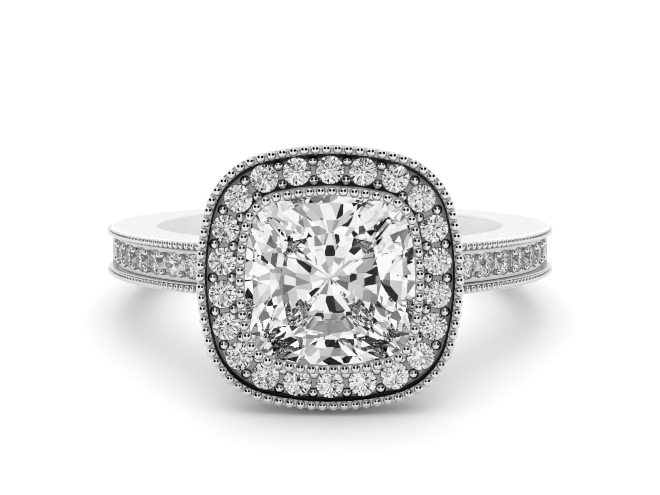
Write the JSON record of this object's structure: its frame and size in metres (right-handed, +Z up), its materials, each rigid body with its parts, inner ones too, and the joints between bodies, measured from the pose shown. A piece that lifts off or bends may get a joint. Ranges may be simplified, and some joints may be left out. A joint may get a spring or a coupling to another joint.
{
  "type": "halo ring",
  "caption": "White gold ring with a cushion-cut stone in a beaded bezel, a halo of small round stones behind a beaded rim, and channel-set shoulders.",
  "frame": {"origin": "on the surface that the ring lies on, below the middle of its box", "axes": "+Z up from the surface; the head and its stones face -Y, leaning back by the ring's resting tilt; +X is the right side as the head is seen"},
  "size_m": [0.0218, 0.0249, 0.0111],
  "materials": {
    "white_gold": "polished white gold",
    "centre_diamond": "polished clear diamond",
    "small_diamonds": "polished clear diamond"
  },
  "bodies": {
    "root": {"ring_mount": "white_gold", "centre_stone": "centre_diamond", "halo_stone_01": "small_diamonds", "halo_stone_02": "small_diamonds", "halo_stone_03": "small_diamonds", "halo_stone_04": "small_diamonds", "halo_stone_05": "small_diamonds", "halo_stone_06": "small_diamonds", "halo_stone_07": "small_diamonds", "halo_stone_08": "small_diamonds", "halo_stone_09": "small_diamonds", "halo_stone_10": "small_diamonds", "halo_stone_11": "small_diamonds", "halo_stone_12": "small_diamonds", "halo_stone_13": "small_diamonds", "halo_stone_14": "small_diamonds", "halo_stone_15": "small_diamonds", "halo_stone_16": "small_diamonds", "halo_stone_17": "small_diamonds", "halo_stone_18": "small_diamonds", "halo_stone_19": "small_diamonds", "halo_stone_20": "small_diamonds", "halo_stone_21": "small_diamonds", "halo_stone_22": "small_diamonds", "shank_stone_left_01": "small_diamonds", "shank_stone_left_02": "small_diamonds", "shank_stone_left_03": "small_diamonds", "shank_stone_left_04": "small_diamonds", "shank_stone_left_05": "small_diamonds", "shank_stone_left_06": "small_diamonds", "shank_stone_left_07": "small_diamonds", "shank_stone_left_08": "small_diamonds", "shank_stone_right_01": "small_diamonds", "shank_stone_right_02": "small_diamonds", "shank_stone_right_03": "small_diamonds", "shank_stone_right_04": "small_diamonds", "shank_stone_right_05": "small_diamonds", "shank_stone_right_06": "small_diamonds", "shank_stone_right_07": "small_diamonds", "shank_stone_right_08": "small_diamonds"}
  },
  "joints": []
}
